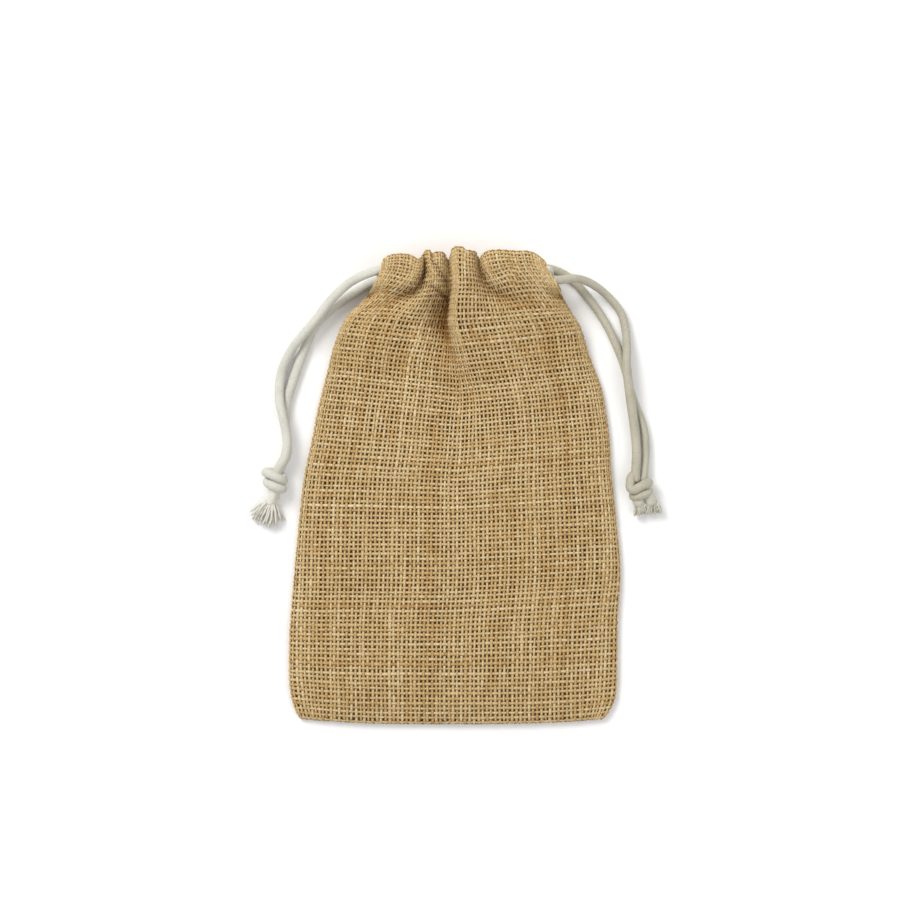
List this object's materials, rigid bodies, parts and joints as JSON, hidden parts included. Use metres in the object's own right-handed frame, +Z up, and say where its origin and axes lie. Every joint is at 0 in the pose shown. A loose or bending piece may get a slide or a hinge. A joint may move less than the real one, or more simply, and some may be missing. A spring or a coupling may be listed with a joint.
{
  "type": "drawstring gift pouch",
  "caption": "Flat woven jute pouch with rounded bottom corners, gathered at the mouth by cotton drawcords that run through turned-in hems and end in knotted, frayed tails.",
  "frame": {"origin": "centre of the pouch's outline, without its free cord tails, on the surface it lies on", "axes": "+X to the right of the front panel, +Y along the pouch towards its mouth, +Z up out of the front panel"},
  "size_m": [0.1554, 0.183, 0.0188],
  "materials": {
    "jute_cloth": "open plain weave of natural jute yarn",
    "sewing_thread": "jute-coloured polyester sewing thread",
    "cotton_cord": "soft undyed cotton cord"
  },
  "bodies": {
    "pouch": {"back_panel": "jute_cloth", "front_panel": "jute_cloth", "left_seam_allowance": "jute_cloth", "right_seam_allowance": "jute_cloth", "bottom_seam_allowance": "jute_cloth", "left_seam_thread": "sewing_thread", "right_seam_thread": "sewing_thread", "bottom_seam_thread": "sewing_thread", "back_casing": "jute_cloth", "front_casing": "jute_cloth", "back_hem_stitch": "sewing_thread", "front_hem_stitch": "sewing_thread"},
    "left_drawcord": {"left_cord_loop": "cotton_cord"},
    "right_drawcord": {"right_cord_loop": "cotton_cord"},
    "mouth_left": {"left_vent_bartack": "sewing_thread"},
    "mouth_right": {"right_vent_bartack": "sewing_thread"},
    "left_tail": {"left_tail_front": "cotton_cord", "left_tail_back": "cotton_cord", "left_knot": "cotton_cord", "left_frayed_end_front": "cotton_cord", "left_frayed_end_back": "cotton_cord"},
    "right_tail": {"right_tail_front": "cotton_cord", "right_tail_back": "cotton_cord", "right_knot": "cotton_cord", "right_frayed_end_front": "cotton_cord", "right_frayed_end_back": "cotton_cord"}
  },
  "joints": [
    {"name": "left_cord_pull", "type": "slide", "parent": "pouch", "child": "left_drawcord", "axis": [-1, 0, 0], "range_m": [-0.015, 0.013], "deforming": ["front_casing", "back_casing", "front_hem_stitch", "back_hem_stitch"]},
    {"name": "right_cord_pull", "type": "slide", "parent": "pouch", "child": "right_drawcord", "axis": [1, 0, 0], "range_m": [-0.015, 0.013]},
    {"name": "mouth_left_gather", "type": "slide", "parent": "pouch", "child": "mouth_left", "axis": [1, 0, 0], "range_m": [-0.015, 0.013]},
    {"name": "mouth_right_gather", "type": "slide", "parent": "pouch", "child": "mouth_right", "axis": [-1, 0, 0], "range_m": [-0.015, 0.013]},
    {"name": "left_tail_feed", "type": "slide", "parent": "mouth_left", "child": "left_tail", "axis": [-0.5, -0.866, 0], "range_m": [-0.03, 0.026], "deforming": ["left_tail_front", "left_tail_back"]},
    {"name": "right_tail_feed", "type": "slide", "parent": "mouth_right", "child": "right_tail", "axis": [0.5, -0.866, 0], "range_m": [-0.03, 0.026], "deforming": ["right_tail_front", "right_tail_back"]}
  ],
  "couplings": [
    {"joint": "right_cord_pull", "follows": "left_cord_pull", "ratio": 1},
    {"joint": "mouth_left_gather", "follows": "left_cord_pull", "ratio": 1},
    {"joint": "mouth_right_gather", "follows": "left_cord_pull", "ratio": 1},
    {"joint": "left_tail_feed", "follows": "left_cord_pull", "ratio": 2},
    {"joint": "right_tail_feed", "follows": "left_cord_pull", "ratio": 2}
  ]
}
